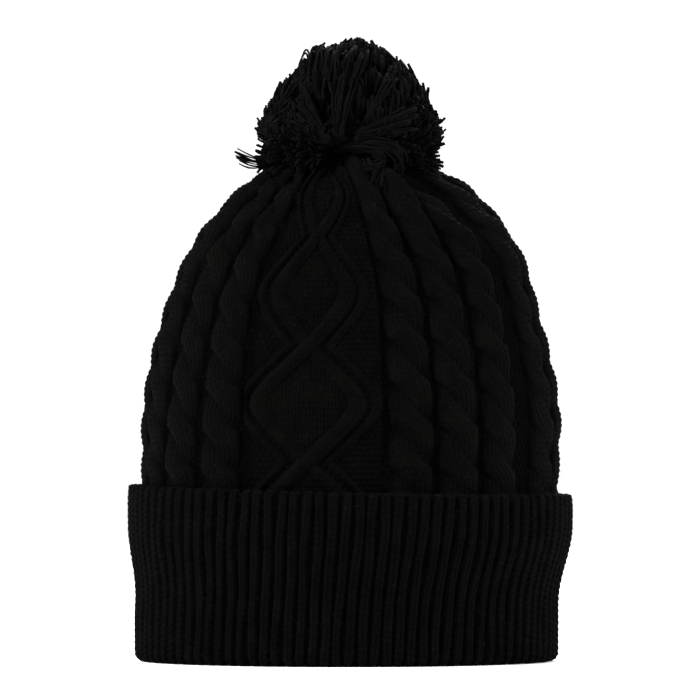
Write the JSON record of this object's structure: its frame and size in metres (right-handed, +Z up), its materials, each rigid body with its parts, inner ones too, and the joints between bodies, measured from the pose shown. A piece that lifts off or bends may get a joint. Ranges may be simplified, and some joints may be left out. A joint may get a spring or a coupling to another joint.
{
  "type": "knit beanie",
  "caption": "Cable-knit beanie with a turned-up rib cuff, a gathered crown and a tied yarn pom-pom, opened as if worn.",
  "frame": {"origin": "on the ground, under the centre of the cuff that the hat stands on", "axes": "+Z up through the crown to the pom-pom; +X to the viewer's right across the broad side; the front looks along -Y"},
  "size_m": [0.22, 0.171, 0.3068],
  "materials": {
    "crown_yarn": "matt black acrylic knit, soft and slightly fuzzy",
    "rib_yarn": "matt black acrylic rib knit",
    "pom_yarn": "matt black cut yarn",
    "sewing_yarn": "matt black yarn",
    "label_thread": "pale sewing thread",
    "label_satin": "pale satin ribbon, blank"
  },
  "bodies": {
    "hat": {"knit_body": "crown_yarn", "inner_rib_band": "rib_yarn", "turn_up_cuff": "rib_yarn", "back_seam": "sewing_yarn", "gather_yarn": "sewing_yarn", "gather_knot": "sewing_yarn", "anchor_yarn": "sewing_yarn", "anchor_knot": "sewing_yarn", "tie_tails": "pom_yarn", "label_stitching": "label_thread"},
    "pom_neck": {"pom_neck": "sewing_yarn"},
    "pom_binding": {"pom_binding": "sewing_yarn"},
    "pom": {"pom_strands": "pom_yarn"},
    "label": {"care_label": "label_satin"}
  },
  "joints": [
    {"name": "pom_nod", "type": "hinge", "parent": "hat", "child": "pom_neck", "pos_m": [-0.007, 0, 0.248], "axis": [1, 0, 0], "range_deg": [-16, 16], "stiffness_Nm_per_rad": 0.03},
    {"name": "pom_sway", "type": "hinge", "parent": "pom_neck", "child": "pom_binding", "pos_m": [-0.007, 0, 0.248], "axis": [0, 1, 0], "range_deg": [-16, 16], "stiffness_Nm_per_rad": 0.03},
    {"name": "pom_twist", "type": "hinge", "parent": "pom_binding", "child": "pom", "pos_m": [-0.007, 0, 0.248], "axis": [0, 0, 1], "range_deg": [-40, 40], "stiffness_Nm_per_rad": 0.01},
    {"name": "label_flip", "type": "hinge", "parent": "hat", "child": "label", "pos_m": [0, 0.0703, 0.1188], "axis": [-1, 0, 0], "range_deg": [0, 150]}
  ]
}
